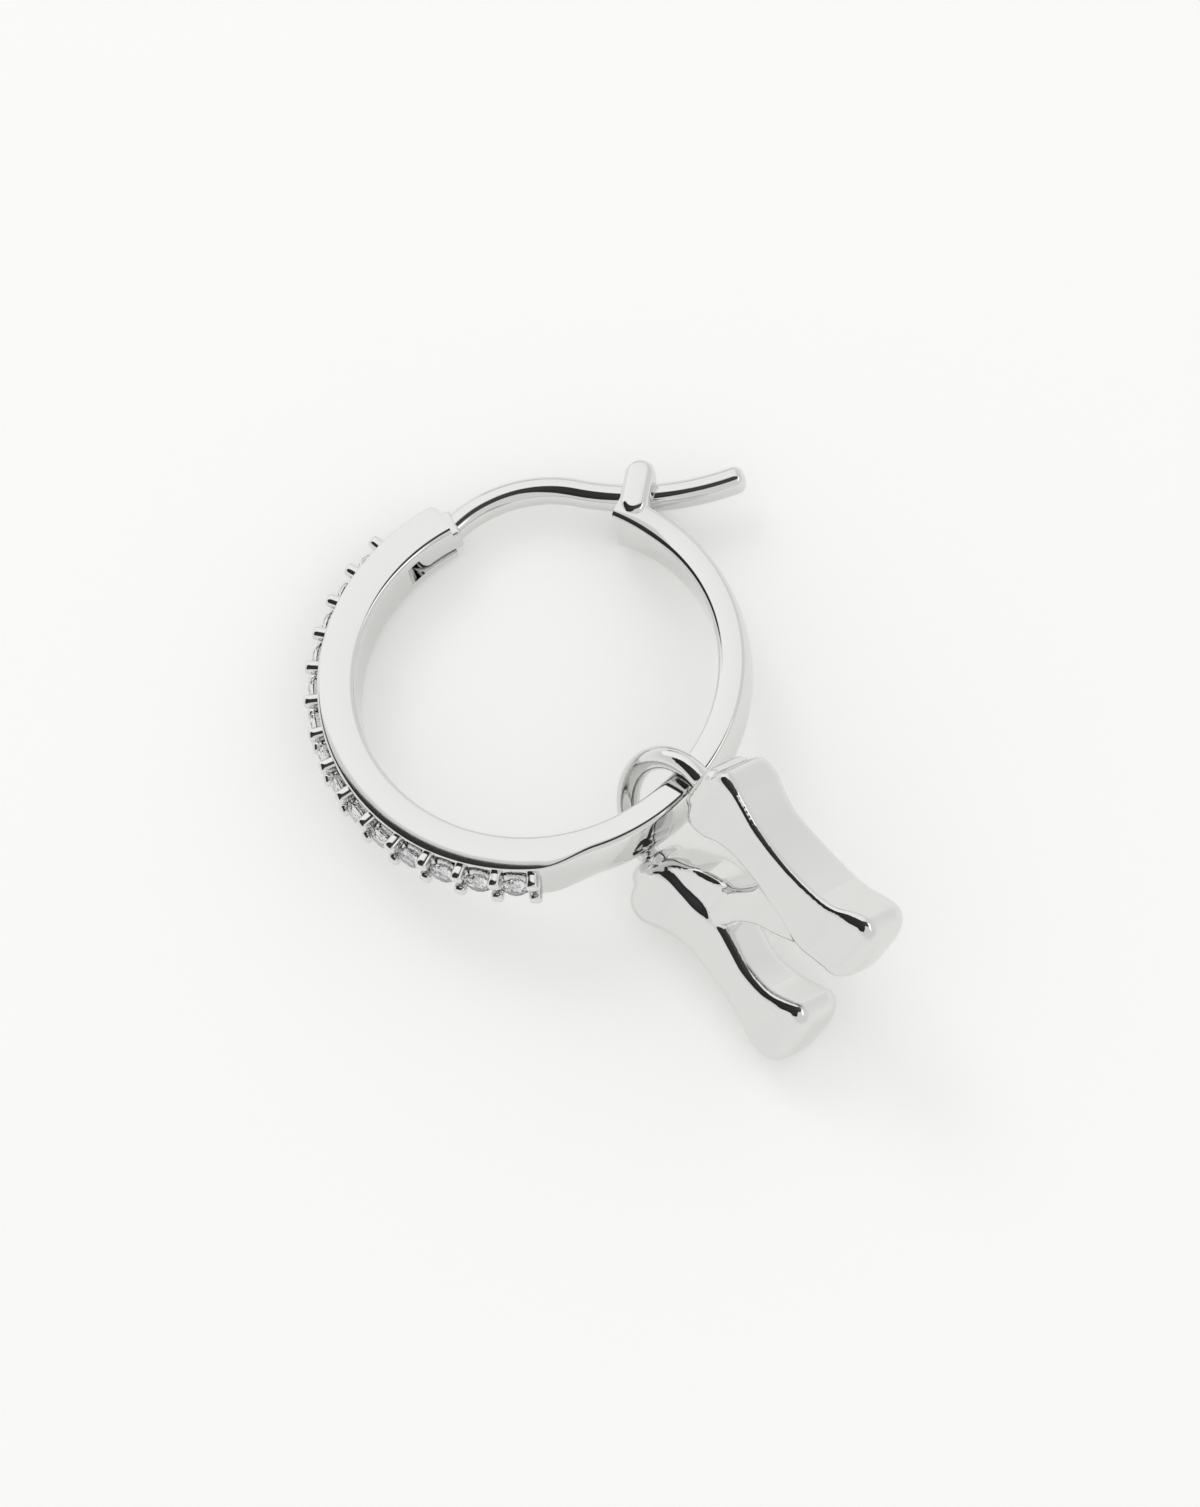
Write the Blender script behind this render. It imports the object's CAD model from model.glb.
import math

import bmesh
import bpy
from mathutils import Matrix, Vector


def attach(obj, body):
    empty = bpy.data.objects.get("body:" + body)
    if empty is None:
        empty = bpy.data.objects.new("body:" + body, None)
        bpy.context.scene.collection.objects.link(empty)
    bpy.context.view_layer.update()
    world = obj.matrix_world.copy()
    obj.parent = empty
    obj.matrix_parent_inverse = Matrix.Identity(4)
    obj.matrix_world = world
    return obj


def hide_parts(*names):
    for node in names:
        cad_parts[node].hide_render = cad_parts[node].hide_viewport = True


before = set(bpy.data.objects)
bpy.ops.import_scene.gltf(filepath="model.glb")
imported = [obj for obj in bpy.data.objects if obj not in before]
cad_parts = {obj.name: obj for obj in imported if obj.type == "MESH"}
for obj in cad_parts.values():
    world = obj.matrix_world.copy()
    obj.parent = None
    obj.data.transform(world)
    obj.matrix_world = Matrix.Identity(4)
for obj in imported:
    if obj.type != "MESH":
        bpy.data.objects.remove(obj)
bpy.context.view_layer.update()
print("frame loaded")

mm = 0.001

# How the hoop lies: the same turns as in the source, in degrees and mm
lie = {"turn": 4.46, "lean": 9.25, "towards": 103.93, "centre": (-0.966, 3.6472, 2.2275)}


def lieMatrix():
    towards = math.radians(lie["towards"])
    leanAxis = Vector((-math.sin(towards), math.cos(towards), 0))
    return (
        Matrix.Translation(Vector(lie["centre"]) * mm)
        @ Matrix.Rotation(math.radians(lie["lean"]), 4, leanAxis)
        @ Matrix.Rotation(math.radians(lie["turn"]), 4, "Z")
        @ Matrix.Scale(mm, 4)
    )


ringToWorld = lieMatrix()  # from mm about the hoop's centre to metres on the floor


# Small helpers for meshes


def polar(radius, degrees):
    return (radius * math.cos(math.radians(degrees)), radius * math.sin(math.radians(degrees)))


def ease(value, low, high):
    t = min(max((value - low) / (high - low), 0), 1)
    return t * t * (3 - 2 * t)


def newPiece(name, verts, faces, matrix=ringToWorld, smooth=True):
    mesh = bpy.data.meshes.new(name)
    mesh.from_pydata([tuple(matrix @ Vector(v)) for v in verts], [], faces)
    mesh.validate()
    if smooth:
        mesh.shade_smooth()
    piece = bpy.data.objects.new(name, mesh)
    bpy.context.scene.collection.objects.link(piece)
    return piece


def loft(rings):
    # skins a list of rings of equal length; both ends are filled
    count = len(rings[0])
    verts = [v for ring in rings for v in ring]
    faces = []
    for j in range(len(rings) - 1):
        a, b = j * count, (j + 1) * count
        for k in range(count):
            n = (k + 1) % count
            faces.append((a + k, a + n, b + n, b + k))
    faces.append(tuple(reversed(range(count))))
    faces.append(tuple(range(len(verts) - count, len(verts))))
    return verts, faces


def fixNormals(piece):
    cage = bmesh.new()
    cage.from_mesh(piece.data)
    bmesh.ops.remove_doubles(cage, verts=cage.verts, dist=1e-9)
    bmesh.ops.recalc_face_normals(cage, faces=cage.faces)
    cage.to_mesh(piece.data)
    cage.free()


def sharpenEdges(piece, degrees):
    # edges that turn by more than this stay crisp
    piece.data.shade_smooth()
    piece.data.set_sharp_from_angle(angle=math.radians(degrees))


def bake(piece):
    # turns the piece with its modifiers into a plain mesh
    graph = bpy.context.evaluated_depsgraph_get()
    mesh = bpy.data.meshes.new_from_object(piece.evaluated_get(graph))
    piece.modifiers.clear()
    old = piece.data
    piece.data = mesh
    bpy.data.meshes.remove(old)
    return piece


def cut(piece, cutter):
    step = piece.modifiers.new("cut", "BOOLEAN")
    step.operation = "DIFFERENCE"
    step.solver = "EXACT"
    step.object = cutter
    bake(piece)
    bpy.data.objects.remove(cutter)
    return piece


def joined(name, pieces):
    cage = bmesh.new()
    for piece in pieces:
        cage.from_mesh(piece.data)
    mesh = bpy.data.meshes.new(name)
    cage.to_mesh(mesh)
    cage.free()
    for piece in pieces:
        bpy.data.objects.remove(piece)
    piece = bpy.data.objects.new(name, mesh)
    bpy.context.scene.collection.objects.link(piece)
    return piece


# Materials


def linear(hexColour):
    channels = [int(hexColour[i : i + 2], 16) / 255 for i in (1, 3, 5)]
    return [c / 12.92 if c <= 0.04045 else ((c + 0.055) / 1.055) ** 2.4 for c in channels] + [1]


def addNode(tree, kind, settings=None, **links):
    # adds a node: settings holds attributes and input values, links feed its inputs
    node = tree.nodes.new(kind)
    for key, value in (settings or {}).items():
        if hasattr(node, key):
            setattr(node, key, value)
        else:
            node.inputs[key].default_value = value
    for key, source in links.items():
        tree.links.new(source, node.inputs[key])
    return node


def newMaterial(name):
    material = bpy.data.materials.new(name)
    material.use_nodes = True
    tree = material.node_tree
    tree.nodes.clear()
    return material, tree


silverLook = {
    "colour": "#E1E1E0",
    "roughness": 0.05,
    "roughSpread": (0.7, 1.5),
    "grainMm": 0.05,
    "swirlMm": 1.6,
    "swirlHeightMm": 0.006,
    "swirlStrength": 0.35,
    "swirlFineness": 0.4,
}


def tumblePolishedSilver():
    # cast sterling silver, tumbled and buffed: mirror bright, with faint soft waves from the wheel
    low, high = silverLook["roughSpread"]
    material, tree = newMaterial("tumblePolishedSilver")
    spot = addNode(tree, "ShaderNodeTexCoord")
    waves = addNode(
        tree,
        "ShaderNodeTexNoise",
        {
            "Scale": 1 / (silverLook["swirlMm"] * mm),
            "Detail": 2.0,
            "Roughness": silverLook["swirlFineness"],
        },
        Vector=spot.outputs["Object"],
    )
    grain = addNode(
        tree,
        "ShaderNodeTexNoise",
        {"Scale": 1 / (silverLook["grainMm"] * mm), "Detail": 2.0},
        Vector=spot.outputs["Object"],
    )
    rough = addNode(
        tree,
        "ShaderNodeMapRange",
        {"To Min": silverLook["roughness"] * low, "To Max": silverLook["roughness"] * high},
        Value=grain.outputs["Fac"],
    )
    bump = addNode(
        tree,
        "ShaderNodeBump",
        {"Strength": silverLook["swirlStrength"], "Distance": silverLook["swirlHeightMm"] * mm},
        Height=waves.outputs["Fac"],
    )
    shader = addNode(
        tree,
        "ShaderNodeBsdfPrincipled",
        {"Base Color": linear(silverLook["colour"]), "Metallic": 1.0},
        Roughness=rough.outputs["Result"],
        Normal=bump.outputs["Normal"],
    )
    addNode(tree, "ShaderNodeOutputMaterial", Surface=shader.outputs["BSDF"])
    return material


stoneLook = {"colour": "#FBFCFD", "ior": 2.16, "roughness": 0.0}


def cutZirconia():
    # clear cubic zirconia, brilliant cut and lapped: strong sparkle, no tint
    material, tree = newMaterial("cutZirconia")
    shader = addNode(
        tree,
        "ShaderNodeBsdfPrincipled",
        {
            "Base Color": linear(stoneLook["colour"]),
            "Roughness": stoneLook["roughness"],
            "IOR": stoneLook["ior"],
            "Transmission Weight": 1.0,
        },
    )
    addNode(tree, "ShaderNodeOutputMaterial", Surface=shader.outputs["BSDF"])
    return material


floorLook = {
    "colour": "#F9F9F7",
    "roughness": 0.8,
    "mottleMm": 9.0,
    "mottleHeightMm": 0.1,
    "mottleStrength": 0.12,
    "glow": 0.15,
}


def paleFloor():
    # matt painted board: nearly white, with a very faint mottle, and a little glow that lifts its shadows
    material, tree = newMaterial("paleMattBoard")
    spot = addNode(tree, "ShaderNodeTexCoord")
    mottle = addNode(
        tree,
        "ShaderNodeTexNoise",
        {"Scale": 1 / (floorLook["mottleMm"] * mm), "Detail": 6.0},
        Vector=spot.outputs["Object"],
    )
    bump = addNode(
        tree,
        "ShaderNodeBump",
        {"Strength": floorLook["mottleStrength"], "Distance": floorLook["mottleHeightMm"] * mm},
        Height=mottle.outputs["Fac"],
    )
    shader = addNode(
        tree,
        "ShaderNodeBsdfPrincipled",
        {
            "Base Color": linear(floorLook["colour"]),
            "Roughness": floorLook["roughness"],
            "Emission Color": linear(floorLook["colour"]),
            "Emission Strength": floorLook["glow"],
        },
        Normal=bump.outputs["Normal"],
    )
    addNode(tree, "ShaderNodeOutputMaterial", Surface=shader.outputs["BSDF"])
    return material


silver = tumblePolishedSilver()
zirconia = cutZirconia()
print("materials ready")


# Hoop

hoopSize = {
    "innerR": 6.53,
    "bandR": 7.90,
    "crownR": 7.68,
    "domeR": 2.9,
    "halfWidth": 1.0,
    "forkHalfWidth": 1.25,
    "innerEdge": 0.2,
    "bandEdge": 0.11,
    "plainEdge": 0.14,
    "hingeEnd": 103.3,
    "forkEnd": 410.5,
    "blendFrom": 256.5,
    "blendTo": 272.0,
    "flareFrom": 388.0,
    "flareTo": 416.5,
    "slotHalf": 0.54,
    "slotBack": 118.6,
    "slotSlant": 13.5,
    "stepDegrees": 0.75,
    "fineDegrees": 0.25,
    "fineCount": 11,
    "endRound": 0.34,
    "crispAngle": 32,
}


def hoopSection(angle):
    # radius and height of each point round the wall, flat on the stone side and domed on the plain side
    size = hoopSize
    plain = ease(angle, size["blendFrom"], size["blendTo"])
    half = size["halfWidth"] + (size["forkHalfWidth"] - size["halfWidth"]) * ease(
        angle, size["flareFrom"], size["flareTo"]
    )
    crown = size["bandR"] + (size["crownR"] - size["bandR"]) * plain
    short = size["endRound"] - math.radians(angle - size["hingeEnd"]) * size["bandR"]
    if short > 0:
        crown -= size["endRound"] - math.sqrt(size["endRound"] ** 2 - short**2)
    edge = size["bandEdge"] + (size["plainEdge"] - size["bandEdge"]) * plain
    inner = size["innerEdge"]
    points = []
    arcSteps = 6
    for side in (-1, 1):  # inner wall's rounded edges
        for k in range(arcSteps + 1):
            a = math.radians(90 * (k if side > 0 else arcSteps - k) / arcSteps)
            z = half - inner + inner * math.sin(a)
            points.append((size["innerR"] + inner * (1 - math.cos(a)), side * z))
    outerArc = []
    for k in range(arcSteps + 1):
        a = math.radians(90 - 90 * k / arcSteps)
        z = half - edge + edge * math.sin(a)
        outerArc.append((edge * (1 - math.cos(a)), z))
    wallSteps = 10
    flat = half - edge
    outerArc += [(0, flat - 2 * flat * k / wallSteps) for k in range(1, wallSteps)]
    outerArc += [(drop, -z) for drop, z in reversed(outerArc[: arcSteps + 1])]
    for drop, z in outerArc:
        dome = plain * z * z / (2 * size["domeR"])
        points.append((crown - drop - dome, z))
    return points


def hoopRing(angle):
    return [(*polar(r, angle), z) for r, z in hoopSection(angle)]


def prism(name, outline, low, high):
    rings = [[(x, y, z) for x, y in outline] for z in (low, high)]
    piece = newPiece(name, *loft(rings), smooth=False)
    fixNormals(piece)
    return piece


def hingeSlotCutter():
    size = hoopSize
    outside, inside, ahead = 1, 3, 6  # mm past the hoop, so that the cut goes right through
    back = Vector(polar(size["bandR"], size["slotBack"]))
    along = Vector(polar(1, size["slotBack"] - size["slotSlant"]))
    across = Vector((along.y, -along.x))
    outer, inner = back + along * outside, back - along * inside
    outline = [outer, inner, inner + across * ahead, outer + across * ahead]
    return prism("slotCutter", outline, -size["slotHalf"], size["slotHalf"])


forkSize = {
    "ear": 64.6,
    "foot": (5.066, 5.367),
    "earR": 0.55,
    "run": 1.2,
    "half": 1.3,
    "slotHalf": 0.55,
    "slotEdge": 0.03,
    "edge": 0.3,
    "crown": [(0.012, 0.3), (0.018, 0.5)],  # rise over the outer face, inset from its outline
    "floor": 0.17,
    "gapLength": 3.2,
    "gapAside": 1.3,
}


def forkPoint(along, across, z=0):
    # a point of the catch, measured along and across its ears
    ux, uy = polar(1, forkSize["ear"])
    fx, fy = forkSize["foot"]
    return (fx + ux * along - uy * across, fy + uy * along + ux * across, z)


def forkGapCutter():
    floor, far, aside = forkSize["floor"], forkSize["gapLength"], forkSize["gapAside"]
    corners = [(floor, -aside), (far, -aside), (far, aside), (floor, aside)]
    outline = [forkPoint(a, b)[:2] for a, b in corners]
    return prism("gapCutter", outline, -forkSize["slotHalf"], forkSize["slotHalf"])


stoneRow = {"start": 121.1, "end": 254.3, "count": 14, "girdleR": 8.08}
# Each seat's height over the girdle and its radius there
seatProfile = [(-0.48, 0.02), (-0.37, 0.17), (-0.31, 0.5), (-0.2, 0.62), (0.8, 0.64)]


def seatCutters():
    # a bright-cut bowl over a cone under each stone
    sides = 32
    pitch = (stoneRow["end"] - stoneRow["start"]) / stoneRow["count"]
    cutters = []
    for i in range(stoneRow["count"]):
        angle = stoneRow["start"] + (i + 0.5) * pitch
        out, side = Vector((*polar(1, angle), 0)), Vector((*polar(1, angle + 90), 0))
        rings = []
        for height, radius in seatProfile:
            ring = []
            for k in range(sides):
                a = 2 * math.pi * k / sides
                spot = out * (stoneRow["girdleR"] + height) + side * radius * math.cos(a)
                ring.append((spot.x, spot.y, radius * math.sin(a)))
            rings.append(ring)
        cutters.append(newPiece("seat", *loft(rings), smooth=False))
    cutter = joined("seatCutter", cutters)
    fixNormals(cutter)
    return cutter


def makeEar(side):
    # a flat bar with round ends, its outer edge rounded over
    size = forkSize
    edge, edgeStep, endSteps = size["edge"], 15, 16
    levels = [(size["slotHalf"], size["slotEdge"]), (size["slotHalf"] + size["slotEdge"], 0)]
    for degrees in range(0, 91, edgeStep):
        a = math.radians(degrees)
        levels.append((size["half"] - edge + edge * math.sin(a), edge * (1 - math.cos(a))))
    levels += [(size["half"] + rise, inset) for rise, inset in size["crown"]]
    halfTurn = [math.pi * k / endSteps for k in range(endSteps + 1)]
    rings = []
    for z, inset in levels:
        r = size["earR"] - inset
        ring = []
        for along, start in ((0, math.pi / 2), (size["run"], -math.pi / 2)):
            for turn in halfTurn:
                a = start + turn
                ring.append(forkPoint(along + r * math.cos(a), r * math.sin(a), side * z))
        rings.append(ring)
    ear = newPiece("ear", *loft(rings))
    fixNormals(ear)
    return ear


def makeHoop():
    size = hoopSize
    steps = round((size["forkEnd"] - size["hingeEnd"]) / size["stepDegrees"])
    angles = [size["hingeEnd"] + (size["forkEnd"] - size["hingeEnd"]) * k / steps for k in range(steps + 1)]
    # closer stations take the place of the first few, for the hinge end's round corner
    angles[1:5] = [size["hingeEnd"] + size["fineDegrees"] * k for k in range(1, size["fineCount"] + 1)]
    body = newPiece("body", *loft([hoopRing(a) for a in angles]))
    fixNormals(body)
    for cutter in (hingeSlotCutter(), forkGapCutter(), seatCutters()):
        cut(body, cutter)
    hoop = joined("hoopBody", [body, makeEar(1), makeEar(-1)])
    sharpenEdges(hoop, size["crispAngle"])
    return hoop


hoop = makeHoop()
print("hoop made,", len(hoop.data.polygons), "faces")


# Prongs

prongSize = {
    "along": 0.5,
    "across": 0.5,
    "rise": 0.57,
    "sunk": 0.5,
    "spacing": 1.02,
    "lean": 1,
    "points": (2, 3, 5),  # of the block before it is softened, in x, y and z
    "softening": 2,
    "crispAngle": 60,
}


def prongTree():
    # one soft block, pressed flat along the hoop, on each point of two arcs beside the row of stones
    tree = bpy.data.node_groups.new("prongRow", "GeometryNodeTree")
    face = tree.interface
    inputs = {
        "Count": ("NodeSocketInt", stoneRow["count"] + 1),
        "Start Angle": ("NodeSocketFloat", math.radians(stoneRow["start"])),
        "End Angle": ("NodeSocketFloat", math.radians(stoneRow["end"])),
        "Root Radius": ("NodeSocketFloat", hoopSize["bandR"] - prongSize["sunk"]),
        "Length": ("NodeSocketFloat", prongSize["sunk"] + prongSize["rise"]),
        "Along": ("NodeSocketFloat", prongSize["along"]),
        "Across": ("NodeSocketFloat", prongSize["across"]),
        "Spacing": ("NodeSocketFloat", prongSize["spacing"]),
        "Lean": ("NodeSocketFloat", math.radians(prongSize["lean"])),
        "Metal": ("NodeSocketMaterial", None),
    }
    for label, (kind, value) in inputs.items():
        socket = face.new_socket(label, in_out="INPUT", socket_type=kind)
        if value is not None:
            socket.default_value = value
    face.new_socket("Geometry", in_out="OUTPUT", socket_type="NodeSocketGeometry")
    given = addNode(tree, "NodeGroupInput").outputs
    index = addNode(tree, "GeometryNodeInputIndex").outputs["Index"]

    def math2(operation, a, b):
        # one step of arithmetic on numbers or sockets
        node = addNode(tree, "ShaderNodeMath", {"operation": operation})
        for slot, value in enumerate((a, b)):
            if isinstance(value, (int, float)):
                node.inputs[slot].default_value = value
            elif value is not None:
                tree.links.new(value, node.inputs[slot])
        return node.outputs[0]

    last = math2("SUBTRACT", given["Count"], 1)
    share = math2("DIVIDE", index, last)
    sweep = math2("SUBTRACT", given["End Angle"], given["Start Angle"])
    angle = math2("ADD", given["Start Angle"], math2("MULTIPLY", share, sweep))
    x = math2("MULTIPLY", given["Root Radius"], math2("COSINE", angle, None))
    y = math2("MULTIPLY", given["Root Radius"], math2("SINE", angle, None))
    size = addNode(tree, "ShaderNodeCombineXYZ", X=given["Across"], Y=given["Along"], Z=given["Length"])
    pointsX, pointsY, pointsZ = prongSize["points"]
    block = addNode(
        tree,
        "GeometryNodeMeshCube",
        {"Vertices X": pointsX, "Vertices Y": pointsY, "Vertices Z": pointsZ},
        Size=size.outputs["Vector"],
    )
    softened = addNode(
        tree,
        "GeometryNodeSubdivisionSurface",
        {"Level": prongSize["softening"]},
        Mesh=block.outputs["Mesh"],
    )
    lift = addNode(tree, "ShaderNodeCombineXYZ", Z=math2("MULTIPLY", given["Length"], 0.5))
    prong = addNode(
        tree, "GeometryNodeTransform", Geometry=softened.outputs["Mesh"], Translation=lift.outputs["Vector"]
    )
    row = addNode(tree, "GeometryNodeJoinGeometry")
    for side in (-1, 1):
        tip = math2("ADD", math2("MULTIPLY", given["Lean"], side), math.pi / 2)
        turn = addNode(tree, "ShaderNodeCombineXYZ", Y=tip, Z=angle)
        points = addNode(tree, "GeometryNodeMeshLine", Count=given["Count"])
        aside = math2("MULTIPLY", given["Spacing"], side / 2)
        spot = addNode(tree, "ShaderNodeCombineXYZ", X=x, Y=y, Z=aside)
        placed = addNode(
            tree, "GeometryNodeSetPosition", Geometry=points.outputs["Mesh"], Position=spot.outputs["Vector"]
        )
        copies = addNode(
            tree,
            "GeometryNodeInstanceOnPoints",
            Points=placed.outputs["Geometry"],
            Instance=prong.outputs["Geometry"],
            Rotation=turn.outputs["Vector"],
        )
        tree.links.new(copies.outputs["Instances"], row.inputs[0])
    solid = addNode(tree, "GeometryNodeRealizeInstances", Geometry=row.outputs["Geometry"])
    finished = addNode(
        tree,
        "GeometryNodeSetMaterial",
        Geometry=solid.outputs["Geometry"],
        Material=given["Metal"],
    )
    shaded = addNode(tree, "GeometryNodeSetShadeSmooth", Geometry=finished.outputs["Geometry"])
    addNode(tree, "NodeGroupOutput", Geometry=shaded.outputs["Geometry"])
    return tree


def makeProngs():
    piece = newPiece("prongs", [], [])
    tree = prongTree()
    step = piece.modifiers.new("row", "NODES")
    step.node_group = tree
    for item in tree.interface.items_tree:
        if item.in_out == "INPUT" and item.name == "Metal":
            step[item.identifier] = silver
    bake(piece)
    piece.data.transform(ringToWorld)
    sharpenEdges(piece, prongSize["crispAngle"])
    return piece


prongs = makeProngs()
print("prongs made,", len(prongs.data.polygons), "faces")


# Ear post

postSize = {
    "archAt": (0.905, 3.035),
    "archR": 4.59,
    "archStart": 124.0,
    "archEnd": 59.2,
    "sweepR": 9.5,
    "sweepReach": 35.0,
    "height": 0.90,
    "width": 1.04,
    "corner": 0.38,
    "arcSteps": 60,
    "rootSlim": 0.05,
    "rootStations": 22,
    "tipRound": 0.36,
    "tipCap": (0.04, 0.06),
    "tipCapAhead": 0.02,
    "tabInnerR": 6.59,
    "tabOuterR": 7.68,
    "tabHalf": 0.51,
    "rootAngle": 100.4,
    "tailAngle": 112.9,
    "tabEdge": 0.1,
    "crispAngle": 40,
}


def softRect(halfX, halfY, corner, steps=6):
    # closed outline of a rounded rectangle, anticlockwise
    points = []
    for q in range(4):
        sx = 1 if q in (0, 3) else -1
        sy = 1 if q in (0, 1) else -1
        for k in range(steps + 1):
            a = math.radians(90 * q + 90 * k / steps)
            x = sx * (halfX - corner) + corner * math.cos(a)
            y = sy * (halfY - corner) + corner * math.sin(a)
            points.append((x, y))
    return points


def wireStations():
    # centre and outward direction of the wire along its two arcs
    size = postSize
    steps = size["arcSteps"]
    stations = []
    span = size["archStart"] - size["archEnd"]
    for k in range(steps + 1):
        a = size["archStart"] - span * k / steps
        x, y = polar(size["archR"], a)
        stations.append((size["archAt"][0] + x, size["archAt"][1] + y, a))
    centre = [size["archAt"][i] + polar(size["archR"] + size["sweepR"], size["archEnd"])[i] for i in (0, 1)]
    for k in range(1, steps + 1):
        a = size["archEnd"] + 180 + size["sweepReach"] * k / steps
        x, y = polar(size["sweepR"], a)
        stations.append((centre[0] + x, centre[1] + y, a - 180))
    return stations


def makeWire():
    size = postSize
    tipSteps = 8
    stations = wireStations()
    rings = []
    for index, (x, y, outward) in enumerate(stations):
        slim = 1 - size["rootSlim"] * (1 - ease(index, 0, size["rootStations"]))
        ring = softRect(size["height"] / 2 * slim, size["width"] / 2 * slim, size["corner"] * slim)
        ux, uy = polar(1, outward)
        rings.append([(x + ux * a, y + uy * a, b) for a, b in ring])
    x, y, outward = stations[-1]
    ux, uy = polar(1, outward)
    fx, fy = polar(1, outward - 90)  # towards the free tip
    for k in range(1, tipSteps + 1):
        a = math.radians(90 * k / tipSteps)
        inset = size["tipRound"] * (1 - math.cos(a))
        ahead = size["tipRound"] * math.sin(a)
        ring = softRect(size["height"] / 2 - inset, size["width"] / 2 - inset, size["corner"] - inset)
        rings.append([(x + ux * p + fx * ahead, y + uy * p + fy * ahead, q) for p, q in ring])
    ring = softRect(*size["tipCap"], size["tipCap"][0] / 2)
    ahead += size["tipCapAhead"]
    rings.append([(x + ux * p + fx * ahead, y + uy * p + fy * ahead, q) for p, q in ring])
    wire = newPiece("wire", *loft(rings))
    fixNormals(wire)
    return wire


def arcPoints(radius, start, end, steps):
    return [polar(radius, start + k * (end - start) / steps) for k in range(steps + 1)]


def makeTab():
    # a flat arc-shaped tongue with a round tail
    size = postSize
    steps = 12
    middle = (size["tabInnerR"] + size["tabOuterR"]) / 2
    tailR = (size["tabOuterR"] - size["tabInnerR"]) / 2
    outline = arcPoints(size["tabOuterR"], size["rootAngle"], size["tailAngle"], steps)
    cx, cy = polar(middle, size["tailAngle"])
    for k in range(1, steps):
        a = size["tailAngle"] + 180 * k / steps
        x, y = polar(tailR, a)
        outline.append((cx + x, cy + y))
    outline += arcPoints(size["tabInnerR"], size["tailAngle"], size["rootAngle"], steps)
    tab = prism("tab", outline, -size["tabHalf"], size["tabHalf"])
    step = tab.modifiers.new("edges", "BEVEL")
    step.width = size["tabEdge"] * mm
    step.segments = 4
    step.limit_method = "ANGLE"
    step.angle_limit = math.radians(size["crispAngle"])
    return bake(tab)


def makePost():
    post = joined("earPost", [makeWire(), makeTab()])
    sharpenEdges(post, postSize["crispAngle"])
    return post


post = makePost()
print("post made,", len(post.data.polygons), "faces")


# Charm

charmLie = {"at": (3.246, -6.72, 0.115), "tip": 8.9, "roll": 55.5, "turn": 22.4}
charmSize = {
    "leftEdge": 0.34,
    "diagonalEdge": 0.26,
    "rightEdge": 0.2,
    "topEdge": 0.45,
    "topFade": (0.6, 2.0),
    "topFullness": 0.35,
    "footEdge": 0.42,
    "footFade": (6.7, 8.1),
    "footFullness": 0.55,
    "footDepth": 0.88,
    "slant": 0.06,
    "hollow": 0.05,
    "backSlant": 0.1,
    "bailR": 2.18,
    "bailD": 0.86,
    "legDepth": 1.1,
    "voxel": 0.055,
    "smoothing": 10,
    "smoothingShare": 0.5,
}

# Stations down each stroke: height, left side, right side, front, back
leftBar = [
    (-0.62, -2.95, -1.75, 1.00, -1.02),
    (-0.95, -3.62, -1.36, 1.06, -1.06),
    (-1.65, -3.72, -1.08, 1.03, -1.05),
    (-2.40, -3.33, -1.08, 0.96, -1.00),
    (-3.10, -3.02, -1.08, 0.92, -0.95),
    (-4.10, -2.86, -0.86, 0.90, -0.92),
    (-5.00, -2.92, -1.06, 0.90, -0.92),
    (-5.90, -2.97, -1.28, 0.92, -0.94),
    (-6.90, -3.19, -1.22, 0.94, -1.10),
    (-7.65, -3.46, -0.92, 0.92, -1.20),
    (-8.14, -3.58, -0.68, 0.82, -1.24),
]
rightBar = [
    (-0.62, 1.60, 3.60, 1.00, -1.18),
    (-0.95, 1.26, 4.08, 1.06, -1.25),
    (-1.65, 1.40, 4.02, 1.03, -1.24),
    (-2.30, 1.72, 3.80, 0.96, -1.22),
    (-3.10, 1.88, 3.55, 0.92, -1.26),
    (-4.10, 1.88, 3.45, 0.90, -1.38),
    (-5.00, 1.80, 3.46, 0.90, -1.42),
    (-5.90, 1.70, 3.56, 0.91, -1.40),
    (-6.90, 1.50, 3.80, 0.93, -1.32),
    (-7.65, 1.54, 4.25, 0.90, -1.28),
    (-8.25, 1.58, 4.50, 0.80, -1.24),
]
diagonal = [
    (-0.80, -2.30, -1.20, 0.74, -0.80),
    (-1.10, -2.30, -0.88, 0.78, -0.84),
    (-1.65, -2.10, -0.50, 0.78, -0.86),
    (-2.20, -1.90, -0.12, 0.76, -0.86),
    (-3.10, -1.60, 0.24, 0.62, -0.86),
    (-3.70, -1.30, 0.72, 0.75, -0.86),
    (-4.20, -0.85, 1.50, 0.82, -0.86),
    (-4.60, -0.10, 2.50, 0.87, -0.88),
    (-5.20, 0.48, 2.60, 0.88, -0.90),
    (-6.00, 0.92, 2.70, 0.90, -0.92),
    (-6.90, 1.42, 2.90, 0.84, -0.96),
    (-7.50, 1.66, 3.00, 0.70, -0.90),
]


def through(a, b, c, d, t):
    # point t of the way from b to c on a smooth curve through all four
    return [
        0.5 * (2 * q + (r - p) * t + (2 * p - 5 * q + 4 * r - s) * t**2 + (3 * q - p - 3 * r + s) * t**3)
        for p, q, r, s in zip(a, b, c, d)
    ]


def strokeStations(table, steps):
    last = len(table) - 1
    rows = []
    for i in range(last):
        around = [table[max(i - 1, 0)], table[i], table[i + 1], table[min(i + 2, last)]]
        rows += [through(*around, s / steps) for s in range(steps)]
    return rows + [table[last]]


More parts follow.
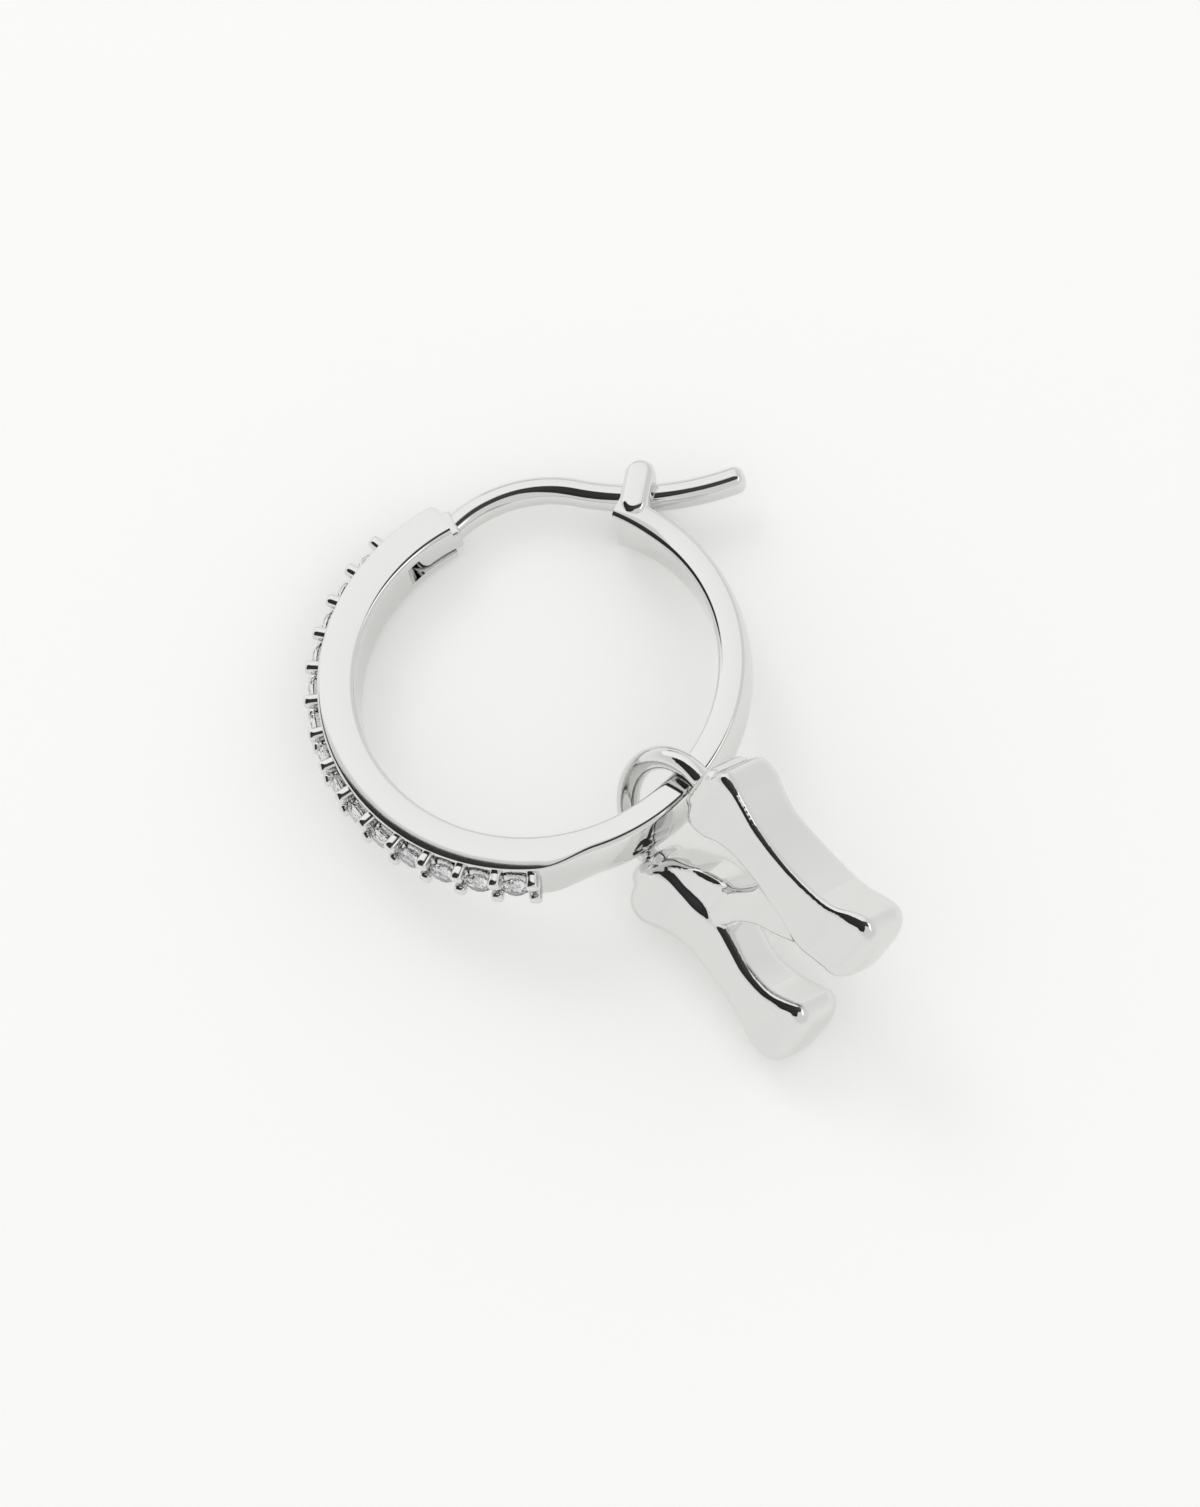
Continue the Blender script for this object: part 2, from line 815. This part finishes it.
def strokeRing(row, edge, scale, rise):
    # a soft rectangle whose front is a little slanted and hollow, and whose back is slanted too
    mostRound = 0.96
    height, left, right, front, back = row
    halfX, halfZ = (right - left) / 2 * scale, (front - back) / 2 * scale
    midX, midZ = (left + right) / 2, (front + back) / 2
    ring = []
    for x, z in softRect(halfX, halfZ, min(edge, mostRound * min(halfX, halfZ))):
        lift, sink = max(z / halfZ, 0), max(-z / halfZ, 0)
        z -= lift * (charmSize["slant"] * x + charmSize["hollow"] * (1 - (x / halfX) ** 2))
        z -= sink * charmSize["backSlant"] * (x + halfX)
        ring.append((midX + x, height + rise, midZ + z))
    return ring


def makeStroke(table, edge, matrix):
    # one bar of the letter: a puffed cap, the stations down its length, a deeper puffed foot
    size = charmSize
    between, capSteps, capEnd = 8, 9, 89
    rows = strokeStations(table, between)
    top, foot, deep = size["topEdge"], size["footEdge"], size["footDepth"]
    caps = [math.radians(capEnd * k / capSteps) for k in range(1, capSteps + 1)]
    rings = []
    for a in reversed(caps):
        rings.append(strokeRing(rows[0], top, math.cos(a) ** size["topFullness"], top * math.sin(a)))
    for row in rows:
        depth = -row[0]
        nearTop = 1 - ease(depth, *size["topFade"])
        nearFoot = ease(depth, *size["footFade"])
        soft = edge + (top - edge) * nearTop + (foot - edge) * nearFoot
        rings.append(strokeRing(row, soft, 1, 0))
    for a in caps:
        rings.append(strokeRing(rows[-1], foot, math.cos(a) ** size["footFullness"], -deep * math.sin(a)))
    stroke = newPiece("stroke", *loft(rings), matrix=matrix)
    fixNormals(stroke)
    return stroke


def makeBail(matrix):
    # a round wire: up one leg, over a half circle and down the other leg
    size = charmSize
    legSteps, bendStep, sides = 6, 4, 24
    rings = []
    stations = [((size["bailR"], -size["legDepth"] * (1 - k / legSteps)), 0) for k in range(legSteps)]
    stations += [(polar(size["bailR"], a), a) for a in range(0, 181, bendStep)]
    stations += [((-size["bailR"], -size["legDepth"] * k / legSteps), 180) for k in range(1, legSteps + 1)]
    for (x, y), outward in stations:
        ux, uy = polar(1, outward)
        ring = []
        for k in range(sides):
            a = 2 * math.pi * k / sides
            r = size["bailD"] / 2
            ring.append((x + ux * r * math.cos(a), y + uy * r * math.cos(a), r * math.sin(a)))
        rings.append(ring)
    bail = newPiece("bail", *loft(rings), matrix=matrix)
    fixNormals(bail)
    return bail


def makeCharm():
    matrix = (
        ringToWorld
        @ Matrix.Translation(charmLie["at"])
        @ Matrix.Rotation(math.radians(charmLie["turn"]), 4, "Z")
        @ Matrix.Rotation(math.radians(charmLie["tip"]), 4, "X")
        @ Matrix.Rotation(math.radians(-charmLie["roll"]), 4, "Y")
    )
    strokes = [
        makeStroke(leftBar, charmSize["leftEdge"], matrix),
        makeStroke(diagonal, charmSize["diagonalEdge"], matrix),
        makeStroke(rightBar, charmSize["rightEdge"], matrix),
    ]
    charm = joined("charmBody", strokes + [makeBail(matrix)])
    step = charm.modifiers.new("cast", "REMESH")
    step.mode = "VOXEL"
    step.voxel_size = charmSize["voxel"] * mm
    step = charm.modifiers.new("buff", "SMOOTH")
    step.factor = charmSize["smoothingShare"]
    step.iterations = charmSize["smoothing"]
    bake(charm)
    charm.data.shade_smooth()
    return charm


charm = makeCharm()
print("charm made,", len(charm.data.polygons), "faces")


# Which body each piece rides on

for piece, body, names in (
    (hoop, "hoop_body", ["hoop"]),
    (prongs, "hoop_body", []),
    (charm, "hoop_body", ["charm"]),
    (post, "post", ["ear_post"]),
):
    piece.data.materials.clear()
    piece.data.materials.append(silver)
    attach(piece, body)
    if names:
        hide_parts(*names)

for name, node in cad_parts.items():
    if name.startswith("stone_") or name == "hinge_pin":
        node.data.materials.clear()
        node.data.materials.append(zirconia if name.startswith("stone_") else silver)


# Floor, camera and light

stageSize = {"floor": 1.2}  # half of the floor's side, in metres


def makeFloor():
    s = stageSize["floor"]
    corners = [(-s, -s, 0), (s, -s, 0), (s, s, 0), (-s, s, 0)]
    floor = newPiece("floor", corners, [(0, 1, 2, 3)], Matrix.Identity(4))
    floor.data.materials.append(paleFloor())


view = {
    "distance": 300.0,
    "tilt": 27.39,
    "roll": -16.37,
    "aside": (-2.169, 2.536),
    "lens": 252.0,
    "sensor": 36,
    "clip": (0.01, 10),
}


def cameraMatrix():
    # the camera looks down on the hoop, tipped back from the hoop's own axis
    toward = Vector((0, -math.sin(math.radians(view["tilt"])), math.cos(math.radians(view["tilt"]))))
    right = Vector((1, 0, 0))
    up = toward.cross(right)
    spin = Matrix.Rotation(math.radians(view["roll"]), 4, toward)
    right, up = spin @ right, spin @ up
    place = toward * view["distance"] - right * view["aside"][0] - up * view["aside"][1]
    rotation = (ringToWorld.to_3x3() @ Matrix((right, up, toward)).transposed()).normalized()
    return Matrix.Translation(ringToWorld @ place) @ rotation.to_4x4()


def makeCamera():
    data = bpy.data.cameras.new("camera")
    data.lens = view["lens"]
    data.sensor_fit = "HORIZONTAL"
    data.sensor_width = view["sensor"]
    data.clip_start, data.clip_end = view["clip"]
    camera = bpy.data.objects.new("camera", data)
    camera.matrix_world = cameraMatrix()
    bpy.context.scene.collection.objects.link(camera)
    bpy.context.scene.camera = camera
    return camera


light = {
    "surround": 0.79,
    "horizon": 0.93,
    "horizonTop": 0.35,
    "keyShare": 0.06,
    "keyElevation": 45,
    "keySize": 0.36,
    "fillShare": 0.005,
    "fillElevation": 80,
    "fillSize": 1.1,
    "lampAzimuth": 108,
    "lampAway": 0.8,
    "boxAway": 0.7,
    "stripLevel": 1.7,
    "stripAway": 0.5,
    "flagAway": 0.36,
    "ceilingLevel": 0.26,
    "ceilingAway": 0.6,
}
# Corners seen from the hoop, in degrees to the right of and above the line to the camera
flagCorners = [
    (-24, 48),
    (-7, 40),
    (27, 37),
    (31, 16),
    (8, 5),
    (-4, 2),
    (-14, -20),
    (-26, -32),
    (-58, -36),
    (-64, 0),
    (-60, 40),
    (-42, 50),
]
flagLevels = [0.03, 0.06, 0.1, 0.1, 0.06, 0.03, 0.03, 0.02, 0.02, 0.02, 0.02, 0.02]
ceilingCorners = [(-40, 93), (50, 93), (60, 150), (-50, 150)]
boxCorners = [(12, 40), (12, 90), (-14, 90), (-60, 78), (-72, 38), (-36, 54), (-14, 46)]
boxLevels = [0.96, 0.96, 1.08, 1.12, 1.12, 1.12, 1.08]
stripCorners = [(26, -6), (38, -10), (40, 34), (28, 30)]


def makeWorld():
    # an even pale room, a little brighter near the horizon
    world = bpy.data.worlds.new("paleStudio")
    world.use_nodes = True
    tree = world.node_tree
    spot = addNode(tree, "ShaderNodeTexCoord")
    height = addNode(tree, "ShaderNodeSeparateXYZ", Vector=spot.outputs["Generated"])
    fade = addNode(
        tree,
        "ShaderNodeMapRange",
        {
            "interpolation_type": "SMOOTHSTEP",
            "From Max": light["horizonTop"],
            "To Min": light["horizon"],
            "To Max": light["surround"],
        },
        Value=height.outputs["Z"],
    )
    tree.nodes["Background"].inputs["Color"].default_value = (1, 1, 1, 1)
    tree.links.new(fade.outputs["Result"], tree.nodes["Background"].inputs["Strength"])
    bpy.context.scene.world = world


def makeLamp(name, share, elevation, size):
    # throws soft shadows only; bright metal mirrors the cards instead of the lamps
    x, y = polar(math.cos(math.radians(elevation)), light["lampAzimuth"])
    away = Vector((x, y, math.sin(math.radians(elevation))))
    lamp = bpy.data.lights.new(name, "AREA")
    lamp.shape = "DISK"
    lamp.size = size
    # share is how bright a white floor would be under this lamp alone
    lamp.energy = share * (math.pi * light["lampAway"]) ** 2 / away.z
    holder = bpy.data.objects.new(name, lamp)
    holder.location = away * light["lampAway"]
    holder.rotation_euler = away.to_track_quat("Z", "Y").to_euler()
    holder.visible_glossy = False
    bpy.context.scene.collection.objects.link(holder)


def makeCard(name, camera, corners, away, levels):
    # a flat card whose corners lie in the given directions, for the metal to mirror
    right, up, toward = (camera.matrix_world.to_3x3().col[i].normalized() for i in range(3))
    rays = []
    for x, y in corners:
        reach, around = math.radians(math.hypot(x, y)), math.atan2(y, x)
        outward = right * math.cos(around) + up * math.sin(around)
        rays.append(toward * math.cos(reach) + outward * math.sin(reach))
    middle = sum(rays, Vector()).normalized()
    verts = [ray * (away / ray.dot(middle)) for ray in rays]
    fan = [(len(verts), k, (k + 1) % len(verts)) for k in range(len(verts))]
    verts.append(sum(verts, Vector()) / len(verts))
    card = newPiece(name, verts, fan, Matrix.Identity(4), smooth=False)
    brightness = card.data.attributes.new("brightness", "FLOAT", "POINT")
    for k, level in enumerate([*levels, sum(levels) / len(levels)]):
        brightness.data[k].value = level
    material, tree = newMaterial(name)
    level = addNode(tree, "ShaderNodeAttribute", {"attribute_name": "brightness"})
    shader = addNode(tree, "ShaderNodeEmission", Strength=level.outputs["Fac"])
    addNode(tree, "ShaderNodeOutputMaterial", Surface=shader.outputs["Emission"])
    card.data.materials.append(material)
    card.visible_diffuse = False
    card.visible_shadow = False
    card.visible_camera = False
    card.visible_transmission = False


def makeCards(camera):
    ceilingLevels = [light["ceilingLevel"]] * len(ceilingCorners)
    stripLevels = [light["stripLevel"]] * len(stripCorners)
    makeCard("blackFlag", camera, flagCorners, light["flagAway"], flagLevels)
    makeCard("greyCeiling", camera, ceilingCorners, light["ceilingAway"], ceilingLevels)
    makeCard("softbox", camera, boxCorners, light["boxAway"], boxLevels)
    makeCard("stripbox", camera, stripCorners, light["stripAway"], stripLevels)


makeFloor()
camera = makeCamera()
makeWorld()
makeLamp("key", light["keyShare"], light["keyElevation"], light["keySize"])
makeLamp("fill", light["fillShare"], light["fillElevation"], light["fillSize"])
makeCards(camera)
bpy.context.scene.view_settings.view_transform = "Standard"
print("stage ready")
